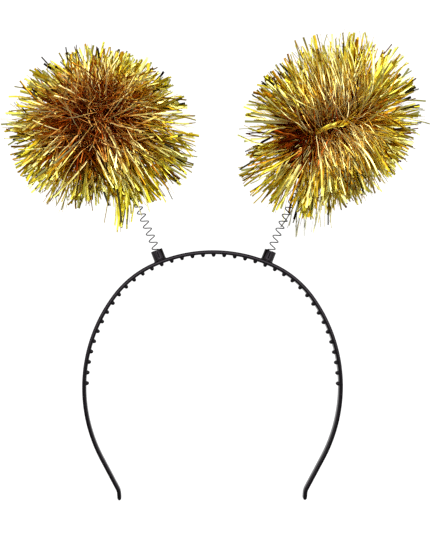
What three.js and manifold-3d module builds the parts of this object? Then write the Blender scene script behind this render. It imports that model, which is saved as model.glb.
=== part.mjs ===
// A pompom headband: a toothed plastic hair band with two moulded sockets, a wire spring plugged into
// each socket, and on each spring a ball of cut foil strips.
//
// Sizes in millimetres, and angles in degrees where a name ends in deg. +Z is up as worn, -Y is the
// front, and +X is on the right in the front view. The origin is the middle of the crown's inner face.
import * as THREE from "three";
import { mergeVertices } from "three/addons/utils/BufferGeometryUtils.js";
import Module from "manifold-3d";

const wasm = await Module();
wasm.setup();

const { degToRad, radToDeg, euclideanModulo, lerp } = THREE.MathUtils;

// Clearance between pieces that would touch
const GAP = 0.4;

// Band: a flat plastic strip, bent so that its edge faces the front
const BAND = { thickness: 2.1, edge_cut: 0.55, side_steps: 6 };
const TIP = { round: 1.6, end_share: 0.35, steps: [0, 0.5, 0.8, 1] };

// Half of the band's middle line, from the crown to one tip. A positive turn bends towards the head.
const HALF_BAND = [
  { stretch: "crown", radius: 75.5, turn_deg: 25.4 },
  { stretch: "shoulder", radius: 51.9, turn_deg: 28.3 },
  { stretch: "side", radius: 79.9, turn_deg: 64.3 },
  { stretch: "arm", length: 18.3 },
  { stretch: "tip_bend", radius: 4.5, turn_deg: -23.5 },
  { stretch: "tip", length: 4.1 },
];

// Width of the band from front to back, by the distance from the crown's middle
const BAND_WIDTHS = [
  { from_crown: 0, width: 7.6 },
  { from_crown: 60, width: 7.2 },
  { from_crown: 130, width: 6.4 },
  { from_crown: 180, width: 5.6 },
];

// Teeth: blunt pegs along the middle of the band's inner face
const TEETH_EACH_SIDE = 19;
const TOOTH_PITCH = 5.68;
const TOOTH = { height: 1.4, shoulder: 0.75, root_width: 2, tip_width: 1, depth: 3.8, sunk: 0.4 };

// Sockets: short tubes that stand on the crown, each with a slit down its front wall
const SOCKET_FROM_CROWN = 28.3;
const SOCKET = { outer_radius: 3.15, bore_radius: 2.5, height: 5.6, floor: 0.7, sunk: 1.2, sides: 16 };
const SLIT = { width: 0.9, bottom: 1.3 };

// Springs: open coils of round wire, from the socket's floor nearly to the pompom's knot
const SPRING = { wire_radius: 0.28, coil_radius: 1.9, pitch: 4.02, short_of_knot: 12 };
const WIRE = { sides: 5, steps_per_turn: 9 };
const CHANNEL = { sides: 10, steps: 8 };

// Pompoms: reach is how far the strips run from the knot, by their angle in the front view, counted
// anticlockwise from +X, and depth is their reach to the front and back. Strays hang out of the ball,
// and their tilt is towards the back. The spring under each pompom starts part of a turn past +X.
const POMPOMS = [
  {
    side: "left",
    sign: -1,
    knot: [-62.6, 0, 68.9],
    spring_start_turn: 0.09,
    depth: 43,
    outline: [
      { angle_deg: 0, reach: 48 },
      { angle_deg: 30, reach: 45 },
      { angle_deg: 60, reach: 40.5 },
      { angle_deg: 90, reach: 41 },
      { angle_deg: 120, reach: 42 },
      { angle_deg: 150, reach: 47.5 },
      { angle_deg: 180, reach: 48.5 },
      { angle_deg: 210, reach: 47 },
      { angle_deg: 240, reach: 48 },
      { angle_deg: 270, reach: 43 },
      { angle_deg: 300, reach: 48 },
      { angle_deg: 330, reach: 53 },
    ],
    strays: [
      { angle_deg: 283, tilt_deg: 17, reach: 57 },
      { angle_deg: 277, tilt_deg: -14, reach: 54 },
      { angle_deg: 247, tilt_deg: 8, reach: 52 },
      { angle_deg: 320, tilt_deg: -8, reach: 56 },
    ],
  },
  {
    side: "right",
    sign: 1,
    knot: [62.9, 0, 66],
    spring_start_turn: 0.51,
    depth: 43,
    outline: [
      { angle_deg: 0, reach: 44.5 },
      { angle_deg: 30, reach: 49 },
      { angle_deg: 60, reach: 50 },
      { angle_deg: 90, reach: 48.5 },
      { angle_deg: 120, reach: 45.5 },
      { angle_deg: 150, reach: 44 },
      { angle_deg: 180, reach: 47 },
      { angle_deg: 210, reach: 54 },
      { angle_deg: 240, reach: 55 },
      { angle_deg: 270, reach: 46 },
      { angle_deg: 300, reach: 40 },
      { angle_deg: 330, reach: 39 },
    ],
    strays: [
      { angle_deg: 252, tilt_deg: 12, reach: 59 },
      { angle_deg: 262, tilt_deg: -10, reach: 56 },
      { angle_deg: 216, tilt_deg: 6, reach: 57 },
      { angle_deg: 8, tilt_deg: -6, reach: 49 },
    ],
  },
];

// Pompom make-up: a many-sided head with one flat lock of strips on each of its faces
const HEAD = { share: 0.5, detail: 2 };
const LOCK = { root_width: 3, tip_width: 5.6, thickness: 1.3 };
const LOCK_LENGTH_SHARES = [1, 0.9, 0.97, 0.84, 0.93];
const STRAY_ROOT_SHARE = 0.4;
const SPRING_WAY = degToRad(14);

// Finishes
const PLASTIC = { color: 0x1b1a1c, roughness: 0.35, metalness: 0 };
const STEEL = { color: 0x8a8a8d, roughness: 0.3, metalness: 1 };
const FOIL = { color: 0xc8981f, roughness: 0.25, metalness: 1 };

// Solids from geometries, and meshes from solids

function solidOf(geometry, matrix = new THREE.Matrix4()) {
  const bare = geometry.clone().applyMatrix4(matrix);
  bare.deleteAttribute("normal");
  bare.deleteAttribute("uv");
  const merged = mergeVertices(bare, 1e-4);
  const vertProperties = merged.getAttribute("position").array;
  const triVerts = new Uint32Array(merged.index.array);
  return new wasm.Manifold(new wasm.Mesh({ numProp: 3, vertProperties, triVerts }));
}

function meshOf(solid, name, finish) {
  const { vertProperties, triVerts } = solid.getMesh();
  const geometry = new THREE.BufferGeometry();
  geometry.setAttribute("position", new THREE.BufferAttribute(vertProperties, 3));
  geometry.setIndex(new THREE.BufferAttribute(triVerts, 1));
  geometry.computeVertexNormals();
  const mesh = new THREE.Mesh(geometry, new THREE.MeshStandardMaterial(finish));
  mesh.name = name;
  return mesh;
}

// A closed skin over rings of equally many points, which run anticlockwise seen from the last ring's end
function loft(rings) {
  const sides = rings[0].length;
  const last = (rings.length - 1) * sides;
  const index = [];
  for (let ring = 0; ring < last; ring += sides) {
    for (let side = 0; side < sides; side++) {
      const here = ring + side;
      const next = ring + ((side + 1) % sides);
      index.push(here, next, next + sides, here, next + sides, here + sides);
    }
  }
  for (let side = 1; side < sides - 1; side++) {
    index.push(0, side + 1, side);
    index.push(last, last + side, last + side + 1);
  }
  return new THREE.BufferGeometry().setFromPoints(rings.flat()).setIndex(index);
}

// A round bar with flat sides, swept along a curve
function bar(radius, sides, curve, steps) {
  const circle = new THREE.Path().absarc(0, 0, radius, 0, 2 * Math.PI);
  const section = new THREE.Shape(circle.getSpacedPoints(sides));
  return new THREE.ExtrudeGeometry(section, { steps, extrudePath: curve, bevelEnabled: false });
}

// A value read between two rows of a table
function between(rows, column, value, at) {
  const next = Math.max(1, rows.findIndex((row) => row[column] >= at));
  const low = rows[next - 1];
  const high = rows[next];
  return lerp(low[value], high[value], (at - low[column]) / (high[column] - low[column]));
}

// The band's middle line

function stretchLength({ length, radius, turn_deg }) {
  return length ?? radius * degToRad(Math.abs(turn_deg));
}

// The distance from the crown at which each stretch ends
function stretchEnds() {
  let distance = 0;
  return Object.fromEntries(HALF_BAND.map((row) => [row.stretch, (distance += stretchLength(row))]));
}

const END_OF = stretchEnds();

// Where the middle line is at a signed distance from the crown, and the ways along it and out of it
function stationAt(distance) {
  const sign = Math.sign(distance) || 1;
  const point = new THREE.Vector2(0, BAND.thickness / 2);
  let left = Math.abs(distance);
  let heading = 0;
  for (const row of HALF_BAND) {
    const step = Math.min(left, stretchLength(row));
    const turn = row.radius ? (step / row.radius) * Math.sign(row.turn_deg) : 0;
    const chord = row.radius ? 2 * row.radius * Math.sin(Math.abs(turn) / 2) : step;
    const along = heading + turn / 2;
    point.add(new THREE.Vector2(Math.cos(along), -Math.sin(along)).multiplyScalar(chord));
    heading += turn;
    left -= step;
  }
  heading *= sign;
  return {
    centre: new THREE.Vector3(sign * point.x, 0, point.y),
    tangent: new THREE.Vector3(Math.cos(heading), 0, -Math.sin(heading)),
    outward: new THREE.Vector3(Math.sin(heading), 0, Math.cos(heading)),
  };
}

// A frame on the band: x along it, y to the back, z outwards, lifted off the middle line
function frameAt(distance, lift) {
  const { centre, tangent, outward } = stationAt(distance);
  const origin = centre.addScaledVector(outward, lift);
  return new THREE.Matrix4().makeBasis(tangent, new THREE.Vector3(0, 1, 0), outward).setPosition(origin);
}

// Headband: the strip, its teeth and its sockets, moulded as one

// Distances of the band's sections: one facet for each tooth, and finer steps in the bend and the tip
function sectionDistances() {
  const half = [];
  for (let i = 0; i <= TEETH_EACH_SIDE; i++) half.push((i + 0.5) * TOOTH_PITCH);
  const toothed = half.at(-1);
  for (let i = 1; i <= BAND.side_steps; i++) half.push(lerp(toothed, END_OF.side, i / BAND.side_steps));
  half.push(END_OF.arm, (END_OF.arm + END_OF.tip_bend) / 2, END_OF.tip_bend);
  for (const share of TIP.steps) half.push(END_OF.tip - TIP.round * (1 - share));
  return [...half.map((distance) => -distance).reverse(), ...half];
}

// The band's section: a rectangle with cut corners, drawn in where the tip is round
function bandRing(distance) {
  const { centre, outward } = stationAt(distance);
  const from_crown = Math.abs(distance);
  const into_round = Math.max(0, 1 - (END_OF.tip - from_crown) / TIP.round);
  const drawn = Math.max(TIP.end_share, Math.sqrt(1 - into_round ** 2));
  const width = between(BAND_WIDTHS, "from_crown", "width", from_crown);
  const half_width = width / 2 - TIP.round * (1 - drawn);
  const half_thickness = (BAND.thickness / 2) * drawn;
  const cut = BAND.edge_cut * drawn;
  const front = [
    [half_thickness, cut - half_width],
    [half_thickness - cut, -half_width],
    [cut - half_thickness, -half_width],
    [-half_thickness, cut - half_width],
  ];
  const rear = front.map(([out, back]) => [-out, -back]);
  return [...front, ...rear].map(([out, back]) => {
    const point = centre.clone().addScaledVector(outward, out);
    return point.setY(back);
  });
}

function tooth() {
  const outline = [
    [-TOOTH.root_width / 2, TOOTH.sunk],
    [-TOOTH.root_width / 2, -TOOTH.shoulder],
    [-TOOTH.tip_width / 2, -TOOTH.height],
    [TOOTH.tip_width / 2, -TOOTH.height],
    [TOOTH.root_width / 2, -TOOTH.shoulder],
    [TOOTH.root_width / 2, TOOTH.sunk],
  ];
  const profile = new THREE.Shape(outline.map(([along, out]) => new THREE.Vector2(along, out)));
  const peg = new THREE.ExtrudeGeometry(profile, { depth: TOOTH.depth, bevelEnabled: false });
  return peg.translate(0, 0, -TOOTH.depth / 2).rotateX(Math.PI / 2);
}

function socket() {
  const { outer_radius, bore_radius, height, floor, sunk, sides } = SOCKET;
  const profile = [
    [0, -sunk],
    [outer_radius, -sunk],
    [outer_radius, height],
    [bore_radius, height],
    [bore_radius, floor],
    [0, floor],
  ].map(([radius, up]) => new THREE.Vector2(radius, up));
  const tube = new THREE.LatheGeometry(profile, sides).rotateX(Math.PI / 2);
  const slit_height = height + GAP - SLIT.bottom;
  const slit = new THREE.BoxGeometry(SLIT.width, 2 * outer_radius, slit_height);
  slit.translate(0, -outer_radius, SLIT.bottom + slit_height / 2);
  return solidOf(tube).subtract(solidOf(slit));
}

function headband() {
  let band = solidOf(loft(sectionDistances().map(bandRing)));
  for (let i = -TEETH_EACH_SIDE; i <= TEETH_EACH_SIDE; i++) {
    band = band.add(solidOf(tooth(), frameAt(i * TOOTH_PITCH, -BAND.thickness / 2)));
  }
  for (const sign of [-1, 1]) {
    const frame = frameAt(sign * SOCKET_FROM_CROWN, BAND.thickness / 2);
    band = band.add(socket().transform(frame.elements));
  }
  return band;
}

// Springs

// The spring's axis: it leaves the socket straight and bends towards the pompom's knot
function springAxis({ sign, knot }) {
  const lift = BAND.thickness / 2 + SOCKET.floor + SPRING.wire_radius + GAP;
  const seat = frameAt(sign * SOCKET_FROM_CROWN, lift);
  const start = new THREE.Vector3().setFromMatrixPosition(seat);
  const outward = new THREE.Vector3().setFromMatrixColumn(seat, 2);
  const target = new THREE.Vector3(...knot);
  const middle = start.clone().addScaledVector(outward, start.distanceTo(target) / 2);
  const back_off = middle.clone().sub(target).setLength(SPRING.short_of_knot);
  return new THREE.QuadraticBezierCurve3(start, middle, target.add(back_off));
}

// A helix of even pitch round an axis that lies in the XZ plane
class Coil extends THREE.Curve {
  constructor(axis, start_turn) {
    super();
    this.axis = axis;
    this.start_turn = start_turn;
    this.turns = axis.getLength() / SPRING.pitch;
    this.steps = Math.round(this.turns * WIRE.steps_per_turn);
    this.arcLengthDivisions = this.steps * 4;
  }

  getPoint(share, target = new THREE.Vector3()) {
    const angle = 2 * Math.PI * (this.start_turn + this.turns * share);
    const tangent = this.axis.getTangentAt(share);
    const across = new THREE.Vector3(tangent.z, 0, -tangent.x);
    target.copy(this.axis.getPointAt(share));
    target.addScaledVector(across, SPRING.coil_radius * Math.cos(angle));
    target.y += SPRING.coil_radius * Math.sin(angle);
    return target;
  }
}

function spring({ spring_start_turn }, axis) {
  const coil = new Coil(axis, spring_start_turn);
  return solidOf(bar(SPRING.wire_radius, WIRE.sides, coil, coil.steps));
}

// Pompoms

// How far a pompom's strips reach in a direction
function reachIn({ outline, depth }, direction) {
  const angle_deg = euclideanModulo(radToDeg(Math.atan2(direction.z, direction.x)), 360);
  const all_round = [...outline, { ...outline[0], angle_deg: 360 }];
  const front = between(all_round, "angle_deg", "reach", angle_deg);
  return 1 / Math.hypot(Math.hypot(direction.x, direction.z) / front, direction.y / depth);
}

// The corners of a lock's flat end, square to its run
function lockEnd(middle, across, through, width) {
  const corners = [[-1, -1], [1, -1], [1, 1], [-1, 1]];
  return corners.map(([u, v]) =>
    middle
      .clone()
      .addScaledVector(across, (u * width) / 2)
      .addScaledVector(through, (v * LOCK.thickness) / 2),
  );
}

// Triangles of a lock's sides and tip, as a list of points
function lockSkin(root, tip) {
  const skin = [tip[0], tip[1], tip[2], tip[0], tip[2], tip[3]];
  for (let side = 0; side < 4; side++) {
    const next = (side + 1) % 4;
    skin.push(root[side], root[next], tip[next], root[side], tip[next], tip[side]);
  }
  return skin;
}

// Triangles of a face of the head with a lock on it, as a list of points. The lock lies along a to b.
function lockOnFace([a, b, c], tip_middle) {
  const middle = a.clone().add(b).add(c).divideScalar(3);
  const across = b.clone().sub(a).normalize();
  const through = across.clone().cross(c.clone().sub(a)).cross(across).normalize();
  const root = lockEnd(middle, across, through, LOCK.root_width);
  const tip = lockEnd(tip_middle, across, through, LOCK.tip_width);
  const below = [a, b, root[1], a, root[1], root[0]];
  const beside = [b, c, root[2], b, root[2], root[1], c, a, root[3], a, root[0], root[3]];
  const above = [c, root[3], root[2]];
  return [...below, ...beside, ...above, ...lockSkin(root, tip)];
}

// A ball of locks round the knot. The faces where the spring comes in are bare.
function lockBall(shape, spring_way) {
  const directions = new THREE.IcosahedronGeometry(1, HEAD.detail).getAttribute("position");
  const points = [];
  for (let face = 0; face < directions.count / 3; face++) {
    const corners = [0, 1, 2].map((corner) => {
      const direction = new THREE.Vector3().fromBufferAttribute(directions, 3 * face + ((corner + face) % 3));
      return direction.setLength(HEAD.share * reachIn(shape, direction));
    });
    const outward = corners[0].clone().add(corners[1]).add(corners[2]).normalize();
    const reach = LOCK_LENGTH_SHARES[face % LOCK_LENGTH_SHARES.length] * reachIn(shape, outward);
    const bare = outward.angleTo(spring_way) < SPRING_WAY;
    points.push(...(bare ? corners : lockOnFace(corners, outward.setLength(reach))));
  }
  return new THREE.BufferGeometry().setFromPoints(points);
}

// A single long lock, rooted inside the head, that hangs out of the ball
function stray(shape, { angle_deg, tilt_deg, reach }) {
  const flat = Math.cos(degToRad(tilt_deg));
  const angle = degToRad(angle_deg);
  const run = new THREE.Vector3(flat * Math.cos(angle), Math.sin(degToRad(tilt_deg)), flat * Math.sin(angle));
  const across = new THREE.Vector3(0, 1, 0).cross(run).normalize();
  const through = run.clone().cross(across);
  const root_reach = STRAY_ROOT_SHARE * reachIn(shape, run);
  const root = lockEnd(run.clone().multiplyScalar(root_reach), across, through, LOCK.root_width);
  const tip = lockEnd(run.clone().multiplyScalar(reach), across, through, LOCK.tip_width);
  const root_cap = [root[0], root[2], root[1], root[0], root[3], root[2]];
  return new THREE.BufferGeometry().setFromPoints([...root_cap, ...lockSkin(root, tip)]);
}

// The room that the spring takes inside the pompom
function springChannel(axis) {
  const radius = SPRING.coil_radius + SPRING.wire_radius + GAP;
  const end = axis.getPoint(1).addScaledVector(axis.getTangent(1), 2 * GAP);
  const path = new THREE.QuadraticBezierCurve3(axis.v0, axis.v1, end);
  return solidOf(bar(radius, CHANNEL.sides, path, CHANNEL.steps));
}

function pompom(shape, axis) {
  const place = new THREE.Matrix4().setPosition(...shape.knot);
  let ball = solidOf(lockBall(shape, axis.getTangent(1).negate()), place);
  for (const row of shape.strays) ball = ball.add(solidOf(stray(shape, row), place));
  return ball.subtract(springChannel(axis));
}

const model = new THREE.Group();
model.add(meshOf(headband(), "headband", PLASTIC));
for (const shape of POMPOMS) {
  const axis = springAxis(shape);
  model.add(meshOf(spring(shape, axis), `spring_${shape.side}`, STEEL));
  model.add(meshOf(pompom(shape, axis), `pompom_${shape.side}`, FOIL));
}

export default model;
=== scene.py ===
"""Looks of a pompom headband: a toothed black hair band, two wire springs and two gold foil pompoms.

Sizes are in metres, or in millimetres where a name ends in MM. Angles are in degrees where a name ends in
DEG or deg. +Z is up as worn, -Y is the front, and +X is on the right in the front view. The origin is the
middle of the crown's inner face.
"""
import math

import bpy
import numpy as np
from mathutils import Matrix, Vector


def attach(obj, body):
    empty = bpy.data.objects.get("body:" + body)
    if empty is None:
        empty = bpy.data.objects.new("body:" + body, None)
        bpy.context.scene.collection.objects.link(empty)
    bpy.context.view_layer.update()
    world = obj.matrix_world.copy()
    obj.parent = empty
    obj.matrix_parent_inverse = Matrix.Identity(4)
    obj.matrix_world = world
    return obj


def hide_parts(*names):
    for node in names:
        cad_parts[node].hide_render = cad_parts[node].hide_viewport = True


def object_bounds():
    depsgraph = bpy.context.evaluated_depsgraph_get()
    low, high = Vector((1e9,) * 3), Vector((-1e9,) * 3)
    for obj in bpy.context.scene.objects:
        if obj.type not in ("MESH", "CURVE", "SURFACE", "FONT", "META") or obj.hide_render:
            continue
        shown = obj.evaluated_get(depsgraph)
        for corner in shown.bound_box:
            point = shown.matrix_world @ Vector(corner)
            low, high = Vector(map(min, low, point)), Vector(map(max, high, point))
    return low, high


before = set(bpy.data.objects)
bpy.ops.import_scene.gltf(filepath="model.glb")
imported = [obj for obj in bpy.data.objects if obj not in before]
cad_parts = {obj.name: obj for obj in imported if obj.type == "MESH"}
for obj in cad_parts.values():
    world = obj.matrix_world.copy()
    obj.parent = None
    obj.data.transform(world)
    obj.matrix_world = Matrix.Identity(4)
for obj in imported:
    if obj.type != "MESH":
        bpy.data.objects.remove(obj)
cad_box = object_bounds()

TO_BACK = np.array([0, 1, 0])

# Band: a flat plastic strip, bent so that its edge faces the front
BAND_THICKNESS = 0.0021
BAND_CORNER = 0.0008
BAND_CORNER_STEPS = 6
BAND_STEP = 0.0014
TIP_ROUND = 0.0016
TIP_STEPS = 7
TIP_BLUNT_STEPS = 0.4

# Half of the band's middle line, from the crown to one tip. A positive turn bends towards the head.
HALF_BAND = {
    "crown": {"radius": 0.0755, "turn_deg": 25.4},
    "shoulder": {"radius": 0.0519, "turn_deg": 28.3},
    "side": {"radius": 0.0799, "turn_deg": 64.3},
    "arm": {"length": 0.0183},
    "tip_bend": {"radius": 0.0045, "turn_deg": -23.5},
    "tip": {"length": 0.0041},
}

# Width of the band from front to back, by the distance from the crown's middle
BAND_WIDTHS = [
    {"from_crown": 0, "width": 0.0076},
    {"from_crown": 0.060, "width": 0.0072},
    {"from_crown": 0.130, "width": 0.0064},
    {"from_crown": 0.180, "width": 0.0056},
]

# Teeth: blunt pegs with filleted roots, by the depth below the band's inner face
TEETH_EACH_SIDE = 19
TOOTH_PITCH = 0.00568
TOOTH_CORNER_SHARE = 0.8
TOOTH_CORNER_STEPS = 4
TOOTH_RINGS = [
    {"below": -0.00040, "half_along": 0.00122, "half_back": 0.00207},
    {"below": 0.00006, "half_along": 0.00120, "half_back": 0.00205},
    {"below": 0.00020, "half_along": 0.00107, "half_back": 0.00193},
    {"below": 0.00042, "half_along": 0.00101, "half_back": 0.00190},
    {"below": 0.00074, "half_along": 0.00092, "half_back": 0.00186},
    {"below": 0.00102, "half_along": 0.00078, "half_back": 0.00175},
    {"below": 0.00123, "half_along": 0.00058, "half_back": 0.00156},
    {"below": 0.00136, "half_along": 0.00035, "half_back": 0.00132},
    {"below": 0.00140, "half_along": 0.00014, "half_back": 0.00110},
]

# Sockets: short tubes that stand on the crown, each with a slit down its front wall
SOCKET_FROM_CROWN = 0.0283
SOCKET_FLOOR = 0.0007
SOCKET_SIDES = 40
SOCKET_RINGS = [
    {"up": -0.00120, "radius": 0.00345},
    {"up": 0.00006, "radius": 0.00345},
    {"up": 0.00030, "radius": 0.00322},
    {"up": 0.00070, "radius": 0.00315},
    {"up": 0.00535, "radius": 0.00315},
    {"up": 0.00553, "radius": 0.00308},
    {"up": 0.00560, "radius": 0.00292},
    {"up": 0.00560, "radius": 0.00272},
    {"up": 0.00553, "radius": 0.00256},
    {"up": 0.00535, "radius": 0.00250},
    {"up": 0.00095, "radius": 0.00250},
    {"up": SOCKET_FLOOR, "radius": 0.00225},
]
SOCKET_FLAT_DEPTH = 0.0001
SLIT_WIDTH = 0.0005
SLIT_BOTTOM = 0.0013
SLIT_TOP = 0.0070
SLIT_REACH = 0.0050
SLIT_CORNER = SLIT_WIDTH / 8
SLIT_CORNER_STEPS = 2
SLIT_BEVEL = 0.00012
SLIT_BEVEL_STEPS = 2
SLIT_BEVEL_FROM_DEG = 50

# Springs: open coils of round wire, from the socket's floor nearly to the pompom's knot
WIRE_RADIUS = 0.00028
WIRE_SIDES = 10
COIL_RADIUS = 0.0019
COIL_PITCH = 0.00402
COIL_STEPS_PER_TURN = 28
SPRING_CLEARANCE = 0.0004
SPRING_LIFT = BAND_THICKNESS / 2 + SOCKET_FLOOR + WIRE_RADIUS + SPRING_CLEARANCE
SPRING_SHORT_OF_KNOT = 0.012
SPRING_SAMPLES = 400
NEVER_ALONG_WIRE = (0.3, 0.5, 0.8)
WIRE_DOME = [{"beyond": 0.5, "size": 0.85}, {"beyond": 0.9, "size": 0.45}]

# Pompoms: outline is how far the strips run from the knot in the front view, every 30 degrees anticlockwise
# from +X, and depth is their reach to the front and back. The strips grow out of a flat tie, whose middle
# stands off the knot, and root_spread scatters their roots. Those at the front lean away from the tie by
# parting. Few strips grow in a crater round the front and back poles and in a valley down the front, both by
# the angle from the pole. The foil is one gold, and its lightness and hue at the roots and tips are painted
# light and shade: the lightness paints the shade and light inside the pompom, orange roots paint light
# bounced between strips deep inside, lemon tips paint the light that they catch at the rim, and front is what
# the tips lose where they point forwards or backwards, as painted shade where one looks into the pompom. bend
# scales the strips' bows and curls. Each lock is a bunch with a place of its own: a positive tilt is towards
# the back, and stray is how loosely its strips run.
OUTLINE_STEP_DEG = 30
POMPOMS = [
    {
        "side": "left",
        "sign": -1,
        "seed": 11,
        "knot": (-0.0626, 0, 0.0689),
        "spring_start_turn": 0.09,
        "depth": 0.043,
        "outline": [
            0.0520, 0.0435, 0.0385, 0.0395, 0.0385, 0.0435,
            0.0470, 0.0460, 0.0490, 0.0420, 0.0485, 0.0540,
        ],
        "tie": {"offset": (0.001, 0, 0.001), "half_length": 0.004, "depth": 0.009, "angle_deg": 20},
        "parting": 0.0,
        "root_spread": 0.0065,
        "crater": {"inner_deg": 14, "outer_deg": 38},
        "valley": {"angle_deg": 262, "half_width_deg": 34, "inner_deg": 40, "outer_deg": 66},
        "gilt": {"root": 0.38, "tip": 0.78, "front": 0.06},
        "ripe": {"root": 0.04, "tip": 1.13, "front": 0.74},
        "bend": 1.15,
        "loose_strips": 190,
        "locks": [
            {"angle_deg": 300, "tilt_deg": -20, "reach": 0.060, "strips": 24, "width": 0.0011, "pale": 0.0,
             "stray": 0.7, "curl": (-0.19, 0.1, -0.12)},
            {"angle_deg": 247, "tilt_deg": 8, "reach": 0.054, "strips": 3, "width": 0.0011, "pale": 0.0},
            {"angle_deg": 297, "tilt_deg": -10, "reach": 0.060, "strips": 4, "width": 0.0006, "pale": 0.6},
            {"angle_deg": 312, "tilt_deg": -8, "reach": 0.0585, "strips": 4, "width": 0.0006, "pale": 0.6},
        ],
    },
    {
        "side": "right",
        "sign": 1,
        "seed": 23,
        "knot": (0.0629, 0, 0.066),
        "spring_start_turn": 0.51,
        "depth": 0.043,
        "outline": [
            0.0425, 0.0470, 0.0520, 0.0510, 0.0450, 0.0425,
            0.0505, 0.0530, 0.0525, 0.0410, 0.0385, 0.0370,
        ],
        "tie": {"offset": (-0.0017, 0, 0.0003), "half_length": 0.0077, "depth": 0.012, "angle_deg": 17.8},
        "parting": 1.2,
        "root_spread": 0.003,
        "crater": {"inner_deg": 6, "outer_deg": 18},
        "valley": {"angle_deg": 205, "half_width_deg": 34, "inner_deg": 52, "outer_deg": 78},
        "gilt": {"root": 1.1, "tip": 0.72, "front": -0.14},
        "ripe": {"root": 0.42, "tip": 1.02, "front": 0.22},
        "bend": 1.1,
        "loose_strips": 8,
        "locks": [
            {"angle_deg": 40, "tilt_deg": -42, "reach": 0.049, "strips": 14, "width": 0.0011, "pale": 0.0,
             "stray": 0.3, "curl": (0.1, 0, -0.05)},
            {"angle_deg": 252, "tilt_deg": 12, "reach": 0.061, "strips": 14, "width": 0.0007, "pale": 0.95},
            {"angle_deg": 262, "tilt_deg": -10, "reach": 0.056, "strips": 10, "width": 0.0007, "pale": 0.6},
            {"angle_deg": 216, "tilt_deg": 6, "reach": 0.057, "strips": 5, "width": 0.0011, "pale": 0.0},
            {"angle_deg": 22, "tilt_deg": -6, "reach": 0.052, "strips": 7, "width": 0.0006, "pale": 0.3,
             "curl": (0.05, 0, -0.2)},
        ],
    },
]

VALLEY_FLOOR_SHARE = 0.5

# All foil strips: bows and curls are spreads in shares of a strip's reach, and twist is a spread in radians
STRIP_STATIONS = 11
STRIP_WIDTHS = (0.0008, 0.0016)
STRIP_BOW = 0.03
STRIP_CURL = 0.06
STRIP_TWIST = 0.9
STRIP_RIDGE = 0.00013
RIBBON_SIDES = 3
FRONT_NARROWER = 0.65
ROOT_WIDTH_SHARE = 0.4
WIDENING = (0.2, 0.8)
WAVE_LENGTHS = (0.0075, 0.013)
WAVE_HEIGHT = 0.0006
WAVE_FADE = 0.8

# Kinds of strips: their lengths are shares of the pompom's reach or depth, or of a lock's own reach
TUFT = {
    "tufts": 180,
    "strips": 1800,
    "radius": 0.0024,
    "fan": 0.06,
    "length": 0.955,
    "length_spread": 0.105,
    "ragged": 0.05,
    "shortest": 0.7,
    "longest": 1.05,
    "shade_spread": 0.08,
    "curl_spread": 0.08,
    "side_spread": 0.6,
}
LONE = {
    "strips": 560,
    "length": 0.92,
    "length_spread": 0.08,
    "shortest": 0.6,
    "longest": 1.04,
    "bow_gain": 2,
    "curl_gain": 2.2,
}
# Under strips are painted dark from root to tip, as painted shade deep in the pompom
UNDER = {
    "strips": 1200,
    "stations": 4,
    "widths": (0.0012, 0.0018),
    "lengths": (0.45, 0.72),
    "gilt_root": 0.16,
    "gilt_tip": 0.46,
    "ripe_root": 0.1,
    "ripe_tip": 0.3,
}
# Loose strips are painted light towards their tips, as painted highlights across the crater
LOOSE = {
    "widths": (0.00035, 0.0006),
    "lengths": (0.2, 0.45),
    "fan": 0.35,
    "farthest_off": 0.008,
    "curls": (0.1, 0.36),
    "gilt_tip": 0.8,
    "ripe_tip": 0.36,
}
LOCK = {"lengths": (0.88, 1), "width_shares": (0.8, 1.2), "pale_spread": 0.1}

# Roots: where strips stand on the tie for the way that they point, and how those at the front arch and part
ROOT_RADIUS = 0.002
ROOT_ALONG_TIE = 1.2
ROOT_STRAY = 0.6
ROOT_TO_BACK = 1.5
ROOT_OFFSET_SHARE = 0.35
POLE_ARCH = 0.1
PARTING_WIDTH = 0.002
PARTING_FACING = (0.5, 0.95)
PARTING_ARCH = 0.25

# What the foil's colour reads along each strip, in order: painted light and shade from dark to bright, which
# also paints what each strip reflects; a hue from orange to lemon, which paints light bounced between strips
# deep in the pompom along with a little random hue; pale from gold to silver; and end, which is over 1 where
# the strip's end is painted dark, as a painted reflection of something dark
FOIL_VALUES = ("gilt", "ripe", "pale", "end")
# Painted reflection: how much lighter or darker each strip is painted at random, for what it reflects
SHADE_SPREAD = 0.55
HUE_SPREAD = 0.1
# How soon along a strip the painted light reaches its value at the tip
PAINTED_LIGHT_GROWTH = 1.2
# Painted reflection: the share of strips with near-black ends, for strips that reflect something dark, and
# how long those ends are
DARK_END_SHARE = 0.08
DARK_END_LENGTHS = (0.08, 0.28)
DARK_END_OVER = 1.0001

# Tie: a twisted core in the middle of each pompom, with a few strips wound over its front and back
CORE = {"radius": 0.0045, "lobes": 5, "lobe_height": 0.14, "twist": 2.5, "rings": 15, "sides": 30}
TIE = {
    "strips": 9,
    "turns": 0.4,
    "wind": 0.0011,
    "reach": 1.25,
    "lift": 1.6,
    "droop": 0.5,
    "gilt": 0.68,
    "ripe": 0.85,
}
STRIP_CLEARANCE = 0.0006
CLEAR_OF_SPRING = COIL_RADIUS + WIRE_RADIUS + STRIP_CLEARANCE
AXIS_STRIDE = 8


# Meshes

def new_piece(name, points, faces):
    mesh = bpy.data.meshes.new(name)
    mesh.from_pydata([tuple(point) for point in points], [], faces)
    piece = bpy.data.objects.new(name, mesh)
    bpy.context.scene.collection.objects.link(piece)
    return piece


def apply_modifiers(piece):
    """Puts the shape that the modifiers give into the piece's own mesh."""
    depsgraph = bpy.context.evaluated_depsgraph_get()
    shaped = bpy.data.meshes.new_from_object(piece.evaluated_get(depsgraph))
    piece.modifiers.clear()
    piece.data = shaped


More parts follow.
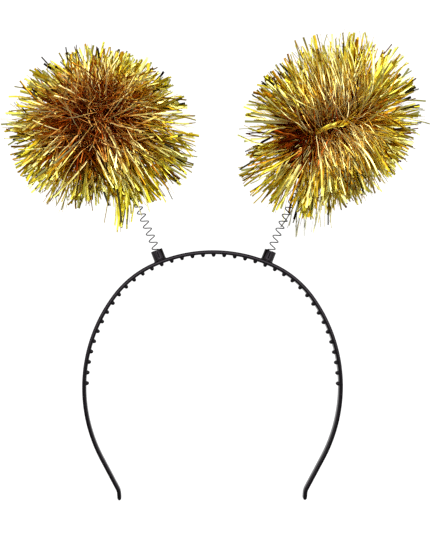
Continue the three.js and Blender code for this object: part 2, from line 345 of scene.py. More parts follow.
def boolean(body, tool, operation):
    """Joins the tool to the body, or cuts it out. The tool is used up."""
    step = body.modifiers.new("boolean", "BOOLEAN")
    step.operation = operation
    step.solver = "EXACT"
    step.object = tool
    apply_modifiers(body)
    bpy.data.objects.remove(tool)


def shade(piece, sharp_deg):
    """Smooth shading, with creases where the surface turns by more than an angle."""
    mesh = piece.data
    mesh.polygons.foreach_set("use_smooth", [True] * len(mesh.polygons))
    mesh.set_sharp_from_angle(angle=math.radians(sharp_deg))


def dress(piece, node, material):
    """Gives a piece its material and its body, and hides the imported part that it stands for."""
    piece.data.materials.clear()
    piece.data.materials.append(material)
    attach(piece, "root")
    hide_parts(node)


def loft(rings):
    """Points and faces of a closed skin over rings of equal size, anticlockwise seen from the last one."""
    sides = len(rings[0])
    last = (len(rings) - 1) * sides
    points = [point for ring in rings for point in ring]
    faces = []
    for ring in range(0, last, sides):
        for side in range(sides):
            here = ring + side
            beside = ring + (side + 1) % sides
            faces.append((here, beside, beside + sides, here + sides))
    faces.append(tuple(reversed(range(sides))))
    faces.append(tuple(range(last, last + sides)))
    return points, faces


def joined(skins):
    """Points and faces of several skins as one list."""
    points, faces = [], []
    for skin_points, skin_faces in skins:
        start = len(points)
        points.extend(skin_points)
        faces.extend(tuple(start + corner for corner in face) for face in skin_faces)
    return points, faces


def rounded_rectangle(half_width, half_height, corner, steps):
    """Points round a rectangle with round corners, anticlockwise."""
    points = []
    for quarter, (right, up) in enumerate([(1, 1), (-1, 1), (-1, -1), (1, -1)]):
        for step in range(steps + 1):
            angle = math.pi / 2 * (quarter + step / steps)
            across = right * (half_width - corner) + corner * math.cos(angle)
            points.append((across, up * (half_height - corner) + corner * math.sin(angle)))
    return points


def unit(vectors):
    return vectors / np.linalg.norm(vectors, axis=-1, keepdims=True)


# The band's middle line

def stretch_length(row):
    if "length" in row:
        return row["length"]
    return row["radius"] * math.radians(abs(row["turn_deg"]))


HALF_LENGTH = sum(stretch_length(row) for row in HALF_BAND.values())


def station(distance):
    """The middle line at a signed distance from the crown: its point, and the ways along it and out of it."""
    sign = -1 if distance < 0 else 1
    left = abs(distance)
    x, z, heading = 0.0, BAND_THICKNESS / 2, 0.0
    for row in HALF_BAND.values():
        step = min(left, stretch_length(row))
        turn, chord = 0.0, step
        if "radius" in row:
            turn = math.copysign(step / row["radius"], row["turn_deg"])
            chord = 2 * row["radius"] * math.sin(abs(turn) / 2)
        x += chord * math.cos(heading + turn / 2)
        z -= chord * math.sin(heading + turn / 2)
        heading += turn
        left -= step
    heading *= sign
    along = Vector((math.cos(heading), 0, -math.sin(heading)))
    outward = Vector((math.sin(heading), 0, math.cos(heading)))
    return Vector((sign * x, 0, z)), along, outward


def place_on_band(distance, lift):
    """A matrix on the band: x along it, y to the back, z outwards, lifted off the middle line."""
    centre, along, outward = station(distance)
    turn = Matrix((along, Vector((0, 1, 0)), outward)).transposed().to_4x4()
    return Matrix.Translation(centre + lift * outward) @ turn


# Headband

def band_sections():
    """Distances of the band's sections and how far each is drawn in, closer together in the round tips."""
    straight = HALF_LENGTH - TIP_ROUND
    steps = round(straight / BAND_STEP)
    half = [(straight * (step + 0.5) / (steps + 0.5), 1.0) for step in range(steps + 1)]
    for step in range(1, TIP_STEPS + 1):
        angle = math.pi / 2 * step / (TIP_STEPS + TIP_BLUNT_STEPS)
        half.append((straight + TIP_ROUND * math.sin(angle), math.cos(angle)))
    return [(-distance, drawn) for distance, drawn in reversed(half)] + half


def band_ring(distance, drawn):
    centre, _, outward = station(distance)
    from_crown = [row["from_crown"] for row in BAND_WIDTHS]
    widths = [row["width"] for row in BAND_WIDTHS]
    width = np.interp(abs(distance), from_crown, widths)
    half_width = width / 2 - TIP_ROUND * (1 - drawn)
    half_thickness = BAND_THICKNESS / 2 * drawn
    section = rounded_rectangle(half_width, half_thickness, BAND_CORNER * drawn, BAND_CORNER_STEPS)
    return [centre + Vector((0, back, 0)) + out * outward for back, out in section]


def tooth_rings():
    rings = []
    for row in TOOTH_RINGS:
        corner = TOOTH_CORNER_SHARE * row["half_along"]
        outline = rounded_rectangle(row["half_along"], row["half_back"], corner, TOOTH_CORNER_STEPS)
        rings.append([Vector((along, back, -row["below"])) for along, back in reversed(outline)])
    return rings


def teeth():
    rings = tooth_rings()
    skins = []
    for index in range(-TEETH_EACH_SIDE, TEETH_EACH_SIDE + 1):
        place = place_on_band(index * TOOTH_PITCH, -BAND_THICKNESS / 2)
        skins.append(loft([[place @ point for point in ring] for ring in rings]))
    return new_piece("teeth", *joined(skins))


def socket_rings():
    """Rings up the outside of a socket and down its bore, each with a narrow flat at the front."""
    angles = [2 * math.pi * side / SOCKET_SIDES for side in range(SOCKET_SIDES)]
    rings = []
    for row in SOCKET_RINGS:
        radius, up = row["radius"], row["up"]
        front = SOCKET_FLAT_DEPTH - radius
        rings.append([
            Vector((radius * math.cos(angle), max(radius * math.sin(angle), front), up))
            for angle in angles
        ])
    return rings


def slit():
    """The block of air in the front wall of a socket."""
    outline = rounded_rectangle(SLIT_WIDTH / 2, SLIT_REACH / 2, SLIT_CORNER, SLIT_CORNER_STEPS)
    rings = [[Vector((x, y - SLIT_REACH / 2, up)) for x, y in outline] for up in (SLIT_BOTTOM, SLIT_TOP)]
    return new_piece("slit", *loft(rings))


def socket(distance):
    tube = new_piece("socket", *loft(socket_rings()))
    boolean(tube, slit(), "DIFFERENCE")
    soften = tube.modifiers.new("soften", "BEVEL")
    soften.width = SLIT_BEVEL
    soften.segments = SLIT_BEVEL_STEPS
    soften.limit_method = "ANGLE"
    soften.angle_limit = math.radians(SLIT_BEVEL_FROM_DEG)
    apply_modifiers(tube)
    tube.data.transform(place_on_band(distance, BAND_THICKNESS / 2))
    return tube


def headband():
    rings = [band_ring(distance, drawn) for distance, drawn in band_sections()]
    band = new_piece("band", *loft(rings))
    boolean(band, teeth(), "UNION")
    for sign in (-1, 1):
        boolean(band, socket(sign * SOCKET_FROM_CROWN), "UNION")
    shade(band, sharp_deg=38)
    return band


# Springs

def interpolated(at, marks, points):
    """Points at some marks along a line, from points whose own marks are known."""
    return np.stack([np.interp(at, marks, column) for column in points.T], axis=1)


def spring_axis(shape):
    """The axis as even points, and its length: it leaves the socket straight and bends to the knot."""
    seat = place_on_band(shape["sign"] * SOCKET_FROM_CROWN, SPRING_LIFT)
    start = np.array(seat.translation)
    outward = np.array(seat.col[2][:3])
    knot = np.array(shape["knot"])
    middle = start + outward * np.linalg.norm(start - knot) / 2
    end = knot + unit(middle - knot) * SPRING_SHORT_OF_KNOT
    share = np.linspace(0, 1, SPRING_SAMPLES)[:, None]
    line = (1 - share) ** 2 * start + 2 * share * (1 - share) * middle + share**2 * end
    travelled = np.concatenate([[0], np.cumsum(np.linalg.norm(np.diff(line, axis=0), axis=1))])
    even = np.linspace(0, travelled[-1], SPRING_SAMPLES)
    return interpolated(even, travelled, line), travelled[-1]


def coil(axis, length, start_turn):
    """Points of a helix round an axis that lies in the XZ plane."""
    turns = length / COIL_PITCH
    share = np.linspace(0, 1, round(turns * COIL_STEPS_PER_TURN) + 1)
    at = share * (len(axis) - 1)
    index = np.arange(len(axis))
    tangents = unit(np.gradient(axis, axis=0))
    middle = interpolated(at, index, axis)
    tangent = unit(interpolated(at, index, tangents))
    across = np.stack([tangent[:, 2], np.zeros(len(at)), -tangent[:, 0]], axis=1)
    angle = (2 * math.pi * (start_turn + turns * share))[:, None]
    return middle + COIL_RADIUS * (across * np.cos(angle) + TO_BACK * np.sin(angle))


def wire(points):
    """A round wire along points, with domed ends."""
    tangents = unit(np.gradient(points, axis=0))
    angles = np.linspace(0, 2 * math.pi, WIRE_SIDES, endpoint=False)[:, None]
    side = unit(np.cross(tangents[0], NEVER_ALONG_WIRE))
    circles = []
    for tangent in tangents:
        side = unit(side - tangent * np.dot(side, tangent))
        circles.append(WIRE_RADIUS * (side * np.cos(angles) + np.cross(tangent, side) * np.sin(angles)))
    rings = [point + circle for point, circle in zip(points, circles)]
    for row in WIRE_DOME:
        beyond = row["beyond"] * WIRE_RADIUS
        rings.insert(0, points[0] - beyond * tangents[0] + row["size"] * circles[0])
        rings.append(points[-1] + beyond * tangents[-1] + row["size"] * circles[-1])
    return loft(rings)


def spring(shape, axis, length):
    piece = new_piece(f"coil_{shape['side']}", *wire(coil(axis, length, shape["spring_start_turn"])))
    shade(piece, sharp_deg=50)
    return piece


# Pompoms

def reach_in(shape, ways):
    """How far a pompom's strips reach in each of some directions."""
    angles = np.degrees(np.arctan2(ways[:, 2], ways[:, 0]))
    steps = np.arange(len(shape["outline"])) * OUTLINE_STEP_DEG
    front = np.interp(angles, steps, shape["outline"], period=360)
    return 1 / np.hypot(np.hypot(ways[:, 0], ways[:, 2]) / front, ways[:, 1] / shape["depth"])


def smooth_step(values, low, high):
    share = np.clip((values - low) / (high - low), 0, 1)
    return share**2 * (3 - 2 * share)


def fullness(shape, ways):
    """How full of strips a pompom is in each direction, from 0 in its crater and valley to 1."""
    crater, valley = shape["crater"], shape["valley"]
    from_pole = np.degrees(np.arccos(np.abs(ways[:, 1])))
    around = np.degrees(np.arctan2(ways[:, 2], ways[:, 0]))
    off_valley = np.abs((around - valley["angle_deg"] + 180) % 360 - 180)
    half_width = valley["half_width_deg"]
    in_valley = 1 - smooth_step(off_valley, VALLEY_FLOOR_SHARE * half_width, half_width)
    in_valley *= ways[:, 1] < 0
    sparse = in_valley * (1 - smooth_step(from_pole, valley["inner_deg"], valley["outer_deg"]))
    return smooth_step(from_pole, crater["inner_deg"], crater["outer_deg"]) * (1 - sparse)


def spread_ways(rng, count, shape):
    """Random directions, as close together as the pompom is full."""
    ways = np.empty((0, 3))
    while len(ways) < count:
        tried = unit(rng.normal(size=(count, 3)))
        ways = np.concatenate([ways, tried[rng.random(count) < fullness(shape, tried)]])
    return ways[:count]


def tie_frame(shape):
    """The middle of a pompom's tie, the way that it runs and the way across it."""
    angle = math.radians(shape["tie"]["angle_deg"])
    along = np.array([math.cos(angle), 0, math.sin(angle)])
    return np.array(shape["knot"]) + shape["tie"]["offset"], along, np.cross(along, TO_BACK)


def perpendicular(rng, ways):
    """A random unit vector square to each direction."""
    return unit(np.cross(ways, rng.normal(size=ways.shape)))


def strip_set(rng, shape, ways, reaches, widths):
    """The strips' data as columns, with the values that all kinds share."""
    count = len(ways)
    gilt, ripe = shape["gilt"], shape["ripe"]
    return {
        "way": ways,
        "reach": reaches,
        "side": perpendicular(rng, ways),
        "offset": np.zeros((count, 3)),
        "stray": np.ones(count),
        "drift": np.zeros(count),
        "bow": perpendicular(rng, ways) * rng.normal(0, STRIP_BOW, (count, 1)),
        "curl": perpendicular(rng, ways) * rng.normal(0, STRIP_CURL, (count, 1)),
        "width": rng.uniform(*widths, count) * (1 - FRONT_NARROWER * np.abs(ways[:, 1])),
        # Painted light and shade, and a painted hue of light bounced between strips, from root to tip
        "gilt_root": np.full(count, gilt["root"]),
        "gilt_tip": gilt["tip"] - gilt["front"] * ways[:, 1] ** 2,
        "ripe_root": np.full(count, ripe["root"]),
        "ripe_tip": ripe["tip"] - ripe["front"] * ways[:, 1] ** 2,
        "hue": rng.uniform(-HUE_SPREAD, HUE_SPREAD, count),
        # Painted reflection: each strip is painted lighter or darker at random
        "shade": rng.uniform(-SHADE_SPREAD, SHADE_SPREAD, count),
        # Painted reflection: a few strips have near-black ends
        "dark_end": np.where(rng.random(count) < DARK_END_SHARE, rng.uniform(*DARK_END_LENGTHS, count), 0),
        "pale": np.zeros(count),
    }


def tuft_strips(rng, shape):
    """Strips that run side by side in tufts."""
    tufts, count = TUFT["tufts"], TUFT["strips"]
    tuft_ways = spread_ways(rng, tufts, shape)
    length = rng.normal(TUFT["length"], TUFT["length_spread"], tufts)
    # Painted reflection: all strips of a tuft share a lighter or darker painted shade
    tuft_shade = rng.normal(0, TUFT["shade_spread"], tufts)
    tuft_curl = perpendicular(rng, tuft_ways) * rng.normal(0, TUFT["curl_spread"], (tufts, 1))
    tuft_side = perpendicular(rng, tuft_ways)
    member = rng.integers(0, tufts, count)
    ways = unit(tuft_ways[member] + rng.normal(0, TUFT["fan"], (count, 3)))
    share = length[member] + rng.normal(0, TUFT["ragged"], count)
    share = np.clip(share, TUFT["shortest"], TUFT["longest"])
    strips = strip_set(rng, shape, ways, share * reach_in(shape, ways), STRIP_WIDTHS)
    strips["offset"] = perpendicular(rng, ways) * rng.normal(0, TUFT["radius"], (count, 1))
    strips["side"] = unit(tuft_side[member] + rng.normal(0, TUFT["side_spread"], (count, 3)))
    strips["curl"] += tuft_curl[member]
    strips["shade"] += tuft_shade[member]
    return strips


def lone_strips(rng, shape):
    """Strips that point every way between the tufts."""
    ways = spread_ways(rng, LONE["strips"], shape)
    share = rng.normal(LONE["length"], LONE["length_spread"], LONE["strips"])
    share = np.clip(share, LONE["shortest"], LONE["longest"])
    strips = strip_set(rng, shape, ways, share * reach_in(shape, ways), STRIP_WIDTHS)
    strips["bow"] *= LONE["bow_gain"]
    strips["curl"] *= LONE["curl_gain"]
    return strips


def under_strips(rng, shape):
    """Short strips under the long ones, which close the gaps between them, painted dark as the shade deep in
    the pompom.
    """
    ways = unit(rng.normal(size=(UNDER["strips"], 3)))
    share = rng.uniform(*UNDER["lengths"], UNDER["strips"])
    strips = strip_set(rng, shape, ways, share * reach_in(shape, ways), UNDER["widths"])
    # Painted shade: these strips take only the darker half of the painted reflection
    strips["shade"] = (strips["shade"] - SHADE_SPREAD) / 2
    for name in ("gilt_root", "gilt_tip", "ripe_root", "ripe_tip"):
        strips[name][:] = UNDER[name]
    strips["dark_end"][:] = 0
    return strips


def loose_strips(rng, shape):
    """Thin strips that leave the front crater and bend across it."""
    count = shape["loose_strips"]
    ways = unit(-TO_BACK + rng.normal(0, LOOSE["fan"], (count, 3)))
    reaches = rng.uniform(*LOOSE["lengths"], count) * shape["depth"]
    strips = strip_set(rng, shape, ways, reaches, LOOSE["widths"])
    strips["offset"] = perpendicular(rng, ways) * rng.uniform(0, LOOSE["farthest_off"], (count, 1))
    strips["curl"] = perpendicular(rng, ways) * rng.uniform(*LOOSE["curls"], (count, 1))
    strips["drift"][:] = 1
    # Painted highlight: these strips take only the lighter half of the painted reflection
    strips["shade"] = (strips["shade"] + SHADE_SPREAD) / 2
    strips["gilt_tip"][:] = LOOSE["gilt_tip"]
    strips["ripe_tip"][:] = LOOSE["ripe_tip"]
    strips["dark_end"][:] = 0
    return strips


def lock_strips(rng, shape, row):
    """A bunch of strips with a place of its own."""
    count = row["strips"]
    angle, tilt = math.radians(row["angle_deg"]), math.radians(row["tilt_deg"])
    way = np.array([math.cos(tilt) * math.cos(angle), math.sin(tilt), math.cos(tilt) * math.sin(angle)])
    stray = row.get("stray", 1.0)
    ways = unit(way + rng.normal(0, stray * TUFT["fan"], (count, 3)))
    reaches = row["reach"] * rng.uniform(*LOCK["lengths"], count)
    strips = strip_set(rng, shape, ways, reaches, STRIP_WIDTHS)
    strips["stray"][:] = stray
    strips["offset"] = perpendicular(rng, ways) * rng.normal(0, stray * TUFT["radius"], (count, 1))
    strips["width"] = row["width"] * rng.uniform(*LOCK["width_shares"], count)
    strips["pale"] = np.clip(rng.normal(row["pale"], LOCK["pale_spread"], count), 0, 1)
    # Locks stand clear of the pompom, so they keep the rim's lemon hue from root to tip and half the painted
    # reflection
    strips["ripe_root"][:] = shape["ripe"]["tip"]
    strips["shade"] /= 2
    strips["curl"] += row.get("curl", (0, 0, 0))
    return strips


def parted(shape, ways):
    """How strips at the front lean away from the tie, as hair does from a parting."""
    over = tie_frame(shape)[2]
    side = np.sign(ways @ over)[:, None]
    facing = smooth_step(-ways[:, 1:2], *PARTING_FACING)
    return facing * side * over


def strip_lines(rng, shape, strips, stations):
    """The strips' middle lines, from roots all over the tie to their tips."""
    ways, tie = strips["way"], shape["tie"]
    middle, tie_way, _ = tie_frame(shape)
    lean = parted(shape, ways)
    leaning = unit(ways + shape["parting"] * lean)
    reach = (strips["reach"] * reach_in(shape, leaning) / reach_in(shape, ways))[:, None]
    stray, drift = strips["stray"][:, None], strips["drift"][:, None]
    along = (ROOT_ALONG_TIE * ways @ tie_way)[:, None] + stray * rng.normal(0, ROOT_STRAY, (len(ways), 1))
    along = np.clip(along, -1, 1) * tie["half_length"]
    backwards = np.clip(ROOT_TO_BACK * ways[:, 1], -1, 1)[:, None] * tie["depth"]
    roots = middle + along * tie_way + backwards * TO_BACK + ROOT_RADIUS * ways
    roots += PARTING_WIDTH * shape["parting"] * lean + ROOT_OFFSET_SHARE * strips["offset"]
    roots += stray * rng.normal(0, shape["root_spread"], roots.shape)
    knot = np.array(shape["knot"])
    tips = knot + drift * (roots - knot) + reach * leaning + strips["offset"]
    share = np.linspace(0, 1, stations)[:, None]
    lines = roots[:, None] + (tips - roots)[:, None] * share
    bend = shape["bend"] * reach
    arch = POLE_ARCH * reach * ways[:, 1:2] * TO_BACK + PARTING_ARCH * reach * (ways - leaning)
    bow = (bend * strips["bow"] + arch)[:, None]
    curl = (bend * strips["curl"])[:, None]
    return lines + bow * 4 * share * (1 - share) + curl * share**2


def square_to(vectors, tangents):
    """Vectors made square to tangents, and the third way of each such frame."""
    first = unit(vectors - tangents * np.sum(vectors * tangents, axis=-1, keepdims=True))
    return first, np.cross(tangents, first)


def ribbons(rng, lines, strips):
    """Points and faces of closed strips along lines, flat behind and with a low ridge in front."""
    count, stations = lines.shape[:2]
    share = np.linspace(0, 1, stations)
    first, second = square_to(strips["side"][:, None], unit(np.gradient(lines, axis=1)))
    twist = (rng.normal(0, STRIP_TWIST, count)[:, None] * share)[..., None]
    across = first * np.cos(twist) + second * np.sin(twist)
    through = second * np.cos(twist) - first * np.sin(twist)
    length = np.linalg.norm(lines[:, -1] - lines[:, 0], axis=1)
    waves = length / rng.uniform(*WAVE_LENGTHS, count)
    phase = 2 * math.pi * (rng.random(count)[:, None] + waves[:, None] * share)
    height = rng.normal(0, WAVE_HEIGHT, count)[:, None] * (1 - WAVE_FADE * share)
    lines = lines + through * (height * np.sin(phase))[..., None]
    across, through = square_to(across, unit(np.gradient(lines, axis=1)))
    widening = ROOT_WIDTH_SHARE + (1 - ROOT_WIDTH_SHARE) * smooth_step(share, *WIDENING)
    half_width = across * (strips["width"][:, None] / 2 * widening)[..., None]
    ring = np.stack([half_width, through * STRIP_RIDGE, -half_width], axis=2)
    points = (lines[:, :, None] + ring).reshape(-1, 3)
    side = np.arange(RIBBON_SIDES)
    beside = (side + 1) % RIBBON_SIDES
    band = np.stack([side, beside, beside + RIBBON_SIDES, side + RIBBON_SIDES], axis=1)
    shell = (band + RIBBON_SIDES * np.arange(stations - 1)[:, None, None]).reshape(-1, 4)
    ends = np.stack([side[::-1], side + RIBBON_SIDES * (stations - 1)])
    starts = RIBBON_SIDES * stations * np.arange(count)[:, None, None]
    faces = (shell + starts).reshape(-1, 4).tolist() + (ends + starts).reshape(-1, RIBBON_SIDES).tolist()
    return points, faces


def core(shape):
    """A twisted, lobed body along the tie, which holds the strips' roots."""
    middle, tie_way, over = tie_frame(shape)
    half = shape["tie"]["half_length"] + CORE["radius"]
    angles = np.linspace(0, 2 * math.pi, CORE["sides"], endpoint=False)[:, None]
    to_back = shape["tie"]["depth"] * TO_BACK
    section = over * CORE["radius"] * np.cos(angles) + to_back * np.sin(angles)
    rings = []
    for ring in range(CORE["rings"]):
        turn = math.pi * (ring + 0.5) / CORE["rings"]
        lobes = 1 + CORE["lobe_height"] * np.sin(CORE["lobes"] * angles - CORE["twist"] * turn)
        rings.append(middle - half * math.cos(turn) * tie_way + math.sqrt(math.sin(turn)) * lobes * section)
    return loft(rings)


def tie_lines(shape, front):
    """Lines that wind round each other over the front or the back of the tie."""
    middle, tie_way, over = tie_frame(shape)
    share = np.linspace(-1, 1, STRIP_STATIONS)[:, None]
    along = TIE["reach"] * shape["tie"]["half_length"] * share * tie_way
    top = TIE["lift"] * shape["tie"]["depth"] + 2 * TIE["wind"]
    lift = front * top * np.sqrt(1 - TIE["droop"] * share**2)
    lines = []
    for index in range(TIE["strips"]):
        angle = 2 * math.pi * (index / TIE["strips"] + TIE["turns"] * share)
        wind = TIE["wind"] * (over * np.cos(angle) + TO_BACK * np.sin(angle))
        lines.append(middle + along - lift * TO_BACK + wind)
    return np.array(lines)


def clear_of_spring(lines, axis):
    """Which strips stay clear of the spring."""
    apart = np.linalg.norm(lines[:, :, None] - axis[None, None, ::AXIS_STRIDE], axis=3)
    return apart.min(axis=(1, 2)) > CLEAR_OF_SPRING


def grown(strips, name, share):
    """A value that grows along each strip from its root to its tip."""
    root, tip = strips[f"{name}_root"][:, None], strips[f"{name}_tip"][:, None]
    return root + (tip - root) * share


def foil_skin(rng, lines, strips):
    """Ribbons along lines, with the values that the foil's colour reads at each of their points."""
    stations = lines.shape[1]
    share = np.linspace(0, 1, stations)
    # Painted light and shade grow along each strip, with its painted reflection and its painted dark end
    values = {
        "gilt": grown(strips, "gilt", np.minimum(PAINTED_LIGHT_GROWTH * share, 1)) + strips["shade"][:, None],
        "ripe": grown(strips, "ripe", share) + strips["hue"][:, None],
        "pale": np.tile(strips["pale"][:, None], stations),
        "end": share + strips["dark_end"][:, None],
    }
    skin = {name: np.repeat(value, RIBBON_SIDES) for name, value in values.items()}
    skin["mesh"] = ribbons(rng, lines, strips)
    return skin


def core_skin(shape):
    """The tie's core, painted in the darkest shade, as it lies deepest in the pompom."""
    points, faces = core(shape)
    skin = {name: np.zeros(len(points)) for name in FOIL_VALUES}
    skin["mesh"] = (points, faces)
    return skin


def tie_skin(rng, shape, front):
    """The strips over the tie, painted at one middle light and hue from end to end."""
    ways = np.tile(tie_frame(shape)[1], (TIE["strips"], 1))
    strips = strip_set(rng, shape, ways, np.zeros(TIE["strips"]), STRIP_WIDTHS)
    strips["dark_end"][:] = 0
    strips["shade"][:] = 0
    for end in ("root", "tip"):
        strips[f"gilt_{end}"][:] = TIE["gilt"]
        strips[f"ripe_{end}"][:] = TIE["ripe"]
    return foil_skin(rng, tie_lines(shape, front), strips)


def pompom(shape, axis):
    rng = np.random.default_rng(shape["seed"])
    kinds = [tuft_strips(rng, shape), lone_strips(rng, shape), loose_strips(rng, shape)]
    kinds += [lock_strips(rng, shape, row) for row in shape["locks"]]
    over = {name: np.concatenate([kind[name] for kind in kinds]) for name in kinds[0]}
    skins = [core_skin(shape)] + [tie_skin(rng, shape, front) for front in (1, -1)]
    for strips, stations in ((over, STRIP_STATIONS), (under_strips(rng, shape), UNDER["stations"])):
        lines = strip_lines(rng, shape, strips, stations)
        kept = clear_of_spring(lines, axis)
        strips = {name: column[kept] for name, column in strips.items()}
        skins.append(foil_skin(rng, lines[kept], strips))
    piece = new_piece(f"tinsel_{shape['side']}", *joined([skin["mesh"] for skin in skins]))
    for name in FOIL_VALUES:
        values = np.concatenate([skin[name] for skin in skins])
        column = piece.data.attributes.new(name, "FLOAT", "POINT")
        column.data.foreach_set("value", values.astype(np.float32))
    shade(piece, sharp_deg=32)
    return piece


# Materials

class Nodes:
    """A material's node tree, with short ways to add and link nodes."""

    def __init__(self, name):
        self.material = bpy.data.materials.new(name)
        self.material.use_nodes = True
        self.tree = self.material.node_tree
        self.shader = self.tree.nodes["Principled BSDF"]

    def add(self, kind, **settings):
        node = self.tree.nodes.new(kind)
        for name, value in settings.items():
            setattr(node, name, value)
        return node

    def attribute(self, name):
        return self.add("ShaderNodeAttribute", attribute_name=name)

    def link(self, source, target):
        self.tree.links.new(source, target)

    def noise(self, scale, detail=3.0):
        """A noise in the object's own space, with features about 1 / scale metres across."""
        place = self.add("ShaderNodeTexCoord")
        noise = self.add("ShaderNodeTexNoise")
        noise.inputs["Scale"].default_value = scale
        noise.inputs["Detail"].default_value = detail
        self.link(place.outputs["Object"], noise.inputs["Vector"])
        return noise.outputs["Fac"]

    def math(self, operation, first, second):
        node = self.add("ShaderNodeMath", operation=operation)
        for socket_in, value in zip(node.inputs, (first, second)):
            if isinstance(value, (int, float)):
                socket_in.default_value = value
            else:
                self.link(value, socket_in)
        return node.outputs["Value"]

    def ramp(self, factor, stops):
        """A colour ramp through stops of position and linear colour."""
        node = self.add("ShaderNodeValToRGB")
        elements = node.color_ramp.elements
        while len(elements) < len(stops):
            elements.new(position=0.5)
        for element, (position, colour) in zip(elements, stops):
            element.position = position
            element.color = (*colour, 1)
        self.link(factor, node.inputs["Fac"])
        return node.outputs["Color"]

    def mix(self, factor, first, second):
        node = self.add("ShaderNodeMix", data_type="RGBA")
        self.link(factor, node.inputs["Factor"])
        for name, value in (("A", first), ("B", second)):
            socket_in = next(port for port in node.inputs if port.name == name and port.type == "RGBA")
            if isinstance(value, tuple):
                socket_in.default_value = (*value, 1)
            else:
                self.link(value, socket_in)
        return next(port for port in node.outputs if port.type == "RGBA")

    def between(self, factor, low, high):
        """A factor from 0 to 1, stretched from low to high."""
        node = self.add("ShaderNodeMapRange")
        node.inputs["To Min"].default_value = low
        node.inputs["To Max"].default_value = high
        self.link(factor, node.inputs["Value"])
        return node.outputs["Result"]

    def bump(self, height, strength, depth):
        node = self.add("ShaderNodeBump")
        node.inputs["Strength"].default_value = strength
        node.inputs["Distance"].default_value = depth
        self.link(height, node.inputs["Height"])
        self.link(node.outputs["Normal"], self.shader.inputs["Normal"])


def black_plastic():
    nodes = Nodes("black_plastic")
    cloud = nodes.noise(scale=160)
    colour = nodes.ramp(cloud, [(0.3, (0.0010, 0.0009, 0.0011)), (0.7, (0.0020, 0.0018, 0.0021))])
    nodes.link(colour, nodes.shader.inputs["Base Color"])
    nodes.shader.inputs["Specular IOR Level"].default_value = 0.22
    nodes.shader.inputs["Specular Tint"].default_value = (1, 0.87, 1, 1)
    roughness = nodes.between(nodes.noise(scale=420), low=0.1, high=0.18)
    nodes.link(roughness, nodes.shader.inputs["Roughness"])
    nodes.bump(nodes.noise(scale=2200), strength=0.15, depth=0.00005)
    return nodes.material


def spring_steel():
    nodes = Nodes("spring_steel")
    nodes.shader.inputs["Metallic"].default_value = 1
    cloud = nodes.noise(scale=900)
    colour = nodes.ramp(cloud, [(0.3, (0.006, 0.006, 0.007)), (0.7, (0.014, 0.014, 0.015))])
    nodes.link(colour, nodes.shader.inputs["Base Color"])
    roughness = nodes.between(nodes.noise(scale=1800), low=0.22, high=0.42)
    nodes.link(roughness, nodes.shader.inputs["Roughness"])
    nodes.bump(nodes.noise(scale=5000), strength=0.1, depth=0.00002)
    return nodes.material


def gold_foil():
    nodes = Nodes("gold_foil")
    nodes.shader.inputs["Metallic"].default_value = 1
    nodes.shader.inputs["Specular Tint"].default_value = (1, 0.7, 0.22, 1)
    gilt, ripe, pale, end = (nodes.attribute(name).outputs["Fac"] for name in FOIL_VALUES)
    # Painted reflection: a noise makes the foil lighter and darker along its crinkles
    painted_crinkle_light = nodes.between(nodes.noise(scale=330, detail=2), low=-0.25, high=0.25)
    painted_light_with_crinkles = nodes.math("ADD", gilt, painted_crinkle_light)
    # Ramps from painted shade to painted highlight, redder in the orange one where light bounces deep in the
    # pompom
    orange = nodes.ramp(painted_light_with_crinkles, [
        (0.0, (0.06, 0.006, 0.001)),
        (0.2, (0.24, 0.035, 0.002)),
        (0.4, (0.50, 0.130, 0.016)),
        (0.6, (0.68, 0.295, 0.070)),
        (0.8, (0.88, 0.525, 0.145)),
        (1.0, (0.98, 0.775, 0.345)),
    ])
    lemon = nodes.ramp(painted_light_with_crinkles, [
        (0.0, (0.11, 0.020, 0.001)),
        (0.2, (0.29, 0.112, 0.003)),
        (0.4, (0.53, 0.355, 0.008)),
        (0.6, (0.71, 0.615, 0.034)),
        (0.8, (0.84, 0.790, 0.110)),
        (1.0, (0.95, 0.930, 0.300)),
    ])
    # The painted hue of bounced light chooses between the orange and lemon ramps
    gold = nodes.mix(nodes.between(ripe, low=-0.75, high=1.0), orange, lemon)
    silver = (0.46, 0.46, 0.38)
    silvered = nodes.mix(pale, gold, silver)
    # Painted reflection: near-black ends, for strips that reflect something dark
    dark_end = nodes.math("GREATER_THAN", end, DARK_END_OVER)
    reflected_dark = (0.03, 0.026, 0.01)
    colour = nodes.mix(dark_end, silvered, reflected_dark)
    nodes.link(colour, nodes.shader.inputs["Base Color"])
    roughness = nodes.between(nodes.noise(scale=260), low=0.12, high=0.28)
    nodes.link(roughness, nodes.shader.inputs["Roughness"])
    nodes.bump(nodes.noise(scale=600), strength=0.2, depth=0.0001)
    return nodes.material


def white_paper():
    nodes = Nodes("white_paper")
    nodes.shader.inputs["Roughness"].default_value = 0.9
    nodes.shader.inputs["Emission Color"].default_value = (1, 1, 1, 1)
    nodes.shader.inputs["Emission Strength"].default_value = 0.955
    cloud = nodes.noise(scale=30)
    colour = nodes.ramp(cloud, [(0.3, (0.14, 0.14, 0.14)), (0.7, (0.16, 0.16, 0.16))])
    nodes.link(colour, nodes.shader.inputs["Base Color"])
    return nodes.material


# Stage, lights and camera

FLOOR_RADIUS = 1.5
SWEEP_RADIUS = 0.5
WALL_TOP = 1.6
SWEEP_STEPS = 12
STAGE_SIDES = 72


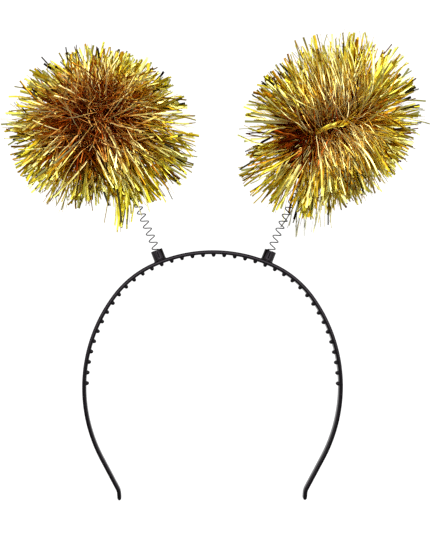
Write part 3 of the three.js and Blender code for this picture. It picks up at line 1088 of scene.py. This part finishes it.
def sweep():
    """A round paper sweep, softly lit from within: a flat floor that curves up into a wall all round."""
    level = cad_box[0].z
    rows = [(FLOOR_RADIUS / 2, level), (FLOOR_RADIUS, level)]
    for step in range(1, SWEEP_STEPS + 1):
        angle = math.pi / 2 * step / SWEEP_STEPS
        out, up = SWEEP_RADIUS * math.sin(angle), SWEEP_RADIUS * (1 - math.cos(angle))
        rows.append((FLOOR_RADIUS + out, level + up))
    rows.append((FLOOR_RADIUS + SWEEP_RADIUS, level + WALL_TOP))
    angles = [2 * math.pi * side / STAGE_SIDES for side in range(STAGE_SIDES)]
    rings = [
        [Vector((radius * math.cos(angle), radius * math.sin(angle), height)) for angle in angles]
        for radius, height in rows
    ]
    points, faces = loft(rings)
    open_above = faces[:-1]
    piece = new_piece("floor", points, open_above)
    piece.data.flip_normals()
    shade(piece, sharp_deg=60)
    piece.data.materials.append(white_paper())
    piece.visible_glossy = False


# Panels of light that face the object, with their glow in white paper's brightness
LIGHTS = [
    {"name": "back_panel", "place": (0, 1.6, 0.3), "width": 2.0, "height": 2.0, "glow": 0.4},
    {"name": "top_panel", "place": (0, 0.1, 1.4), "width": 1.8, "height": 1.8, "glow": 0.8},
    {"name": "left_panel", "place": (-1.4, 0.2, 0.3), "width": 1.6, "height": 1.6, "glow": 0.7},
    {"name": "right_panel", "place": (1.4, 0.2, 0.3), "width": 1.6, "height": 1.6, "glow": 0.7},
    {"name": "front_panel_left", "place": (-1.0, -0.9, 0.35), "width": 1.1, "height": 1.1, "glow": 1.4},
    {"name": "front_panel_right", "place": (1.0, -0.9, 0.35), "width": 1.1, "height": 1.1, "glow": 1.4},
    {"name": "front_panel", "place": (0.05, -1.3, 0.25), "width": 1.1, "height": 0.76, "glow": 3.4},
]
ROOM_GLOW = 0.33


def panel(row):
    lamp = bpy.data.lights.new(row["name"], "AREA")
    lamp.shape = "RECTANGLE"
    lamp.size = row["width"]
    lamp.size_y = row["height"]
    lamp.energy = math.pi * row["width"] * row["height"] * row["glow"]
    light = bpy.data.objects.new(row["name"], lamp)
    light.location = row["place"]
    light.rotation_euler = (-Vector(row["place"])).to_track_quat("-Z", "Y").to_euler()
    light.visible_camera = False
    bpy.context.scene.collection.objects.link(light)


def lighting():
    world = bpy.data.worlds.new("studio")
    world.use_nodes = True
    background = world.node_tree.nodes["Background"]
    background.inputs["Color"].default_value = (1, 1, 1, 1)
    background.inputs["Strength"].default_value = ROOM_GLOW
    bpy.context.scene.world = world
    bpy.context.scene.view_settings.view_transform = "Standard"
    for row in LIGHTS:
        panel(row)


CAMERA_TARGET = Vector((0.0021, 0, -0.0075))
CAMERA_DISTANCE = 0.7
CAMERA_AZIMUTH_DEG = -2.5
CAMERA_ROLL_DEG = 0.3
PICTURE_HEIGHT = 0.2827
SENSOR_HEIGHT_MM = 36


def camera():
    azimuth = math.radians(CAMERA_AZIMUTH_DEG)
    back = Vector((math.sin(azimuth), -math.cos(azimuth), 0))
    lens = bpy.data.cameras.new("camera")
    lens.sensor_fit = "VERTICAL"
    lens.sensor_height = SENSOR_HEIGHT_MM
    lens.lens = SENSOR_HEIGHT_MM * CAMERA_DISTANCE / PICTURE_HEIGHT
    eye = bpy.data.objects.new("camera", lens)
    look = (-back).to_track_quat("-Z", "Y").to_matrix().to_4x4()
    roll = Matrix.Rotation(math.radians(CAMERA_ROLL_DEG), 4, "Z")
    eye.matrix_world = Matrix.Translation(CAMERA_TARGET + CAMERA_DISTANCE * back) @ look @ roll
    bpy.context.scene.collection.objects.link(eye)
    bpy.context.scene.camera = eye


# The whole

dress(headband(), "headband", black_plastic())
steel = spring_steel()
foil = gold_foil()
for shape in POMPOMS:
    axis, length = spring_axis(shape)
    dress(spring(shape, axis, length), f"spring_{shape['side']}", steel)
    dress(pompom(shape, axis), f"pompom_{shape['side']}", foil)
sweep()
lighting()
camera()
